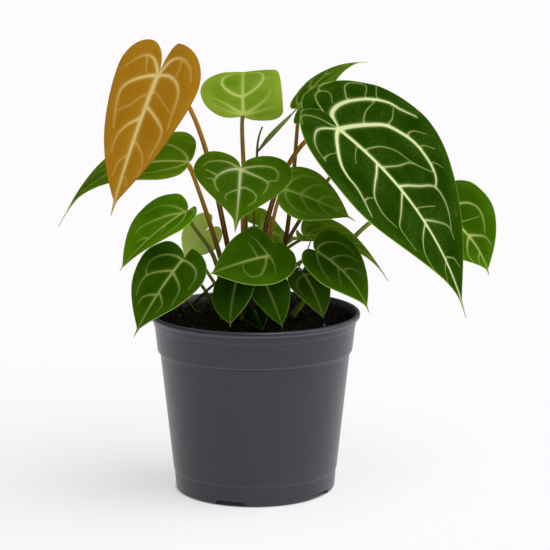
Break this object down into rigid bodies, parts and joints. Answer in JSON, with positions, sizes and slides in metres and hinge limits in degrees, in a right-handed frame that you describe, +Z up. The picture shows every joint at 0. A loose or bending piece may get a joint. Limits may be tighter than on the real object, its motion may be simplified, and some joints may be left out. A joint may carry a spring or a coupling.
{
  "type": "potted anthurium crystallinum",
  "caption": "Foliage plant with heart-shaped, pale-veined velvet leaves on slim stalks, rooted in soil in a round, tapered plastic nursery pot that stands on its own base.",
  "frame": {"origin": "centre of the pot's flat underside, on the surface that the pot stands on", "axes": "+Z up along the pot's axis; -Y is the front that the leaves turn to; +X is to the right when it is seen from the front"},
  "size_m": [0.2587, 0.1418, 0.2568],
  "materials": {
    "pot_plastic": "matte",
    "soil": "matte",
    "blade_dark": "satin",
    "blade_green": "satin",
    "blade_pale": "satin",
    "blade_bronze": "satin",
    "petiole_brown": "satin",
    "petiole_olive": "satin",
    "sheath": "matte"
  },
  "bodies": {
    "root": {"pot": "pot_plastic", "soil": "soil", "great_blade": "blade_dark", "great_petiole": "petiole_brown", "bronze_blade": "blade_bronze", "bronze_petiole": "petiole_brown", "left_back_blade": "blade_green", "left_back_petiole": "petiole_brown", "top_light_blade": "blade_pale", "top_light_petiole": "petiole_brown", "heart_blade": "blade_dark", "heart_petiole": "petiole_brown", "right_mid_blade": "blade_green", "right_mid_petiole": "petiole_brown", "top_back_blade": "blade_green", "top_back_petiole": "petiole_brown", "right_back_blade": "blade_green", "right_back_petiole": "petiole_olive", "hidden_right_blade": "blade_green", "hidden_right_petiole": "petiole_brown", "left_mid_blade": "blade_green", "left_mid_petiole": "petiole_olive", "left_low_blade": "blade_green", "left_low_petiole": "petiole_olive", "left_light_blade": "blade_pale", "left_light_petiole": "petiole_olive", "front_blade": "blade_green", "front_petiole": "petiole_olive", "small_left_blade": "blade_green", "small_left_petiole": "petiole_olive", "small_right_blade": "blade_dark", "small_right_petiole": "petiole_olive", "small_low_blade": "blade_dark", "small_low_petiole": "petiole_olive", "right_small_blade": "blade_green", "right_small_petiole": "petiole_olive", "right_heart_blade": "blade_green", "right_heart_petiole": "petiole_olive", "right_long_blade": "blade_green", "right_long_petiole": "petiole_olive", "back_mid_blade": "blade_pale", "back_mid_petiole": "petiole_olive", "young_stalk": "sheath", "young_leaf": "blade_pale", "old_stalk_left": "petiole_olive", "old_stalk_back": "petiole_olive", "old_stalk_right": "petiole_olive", "old_stalk_thin": "petiole_brown"}
  },
  "joints": []
}
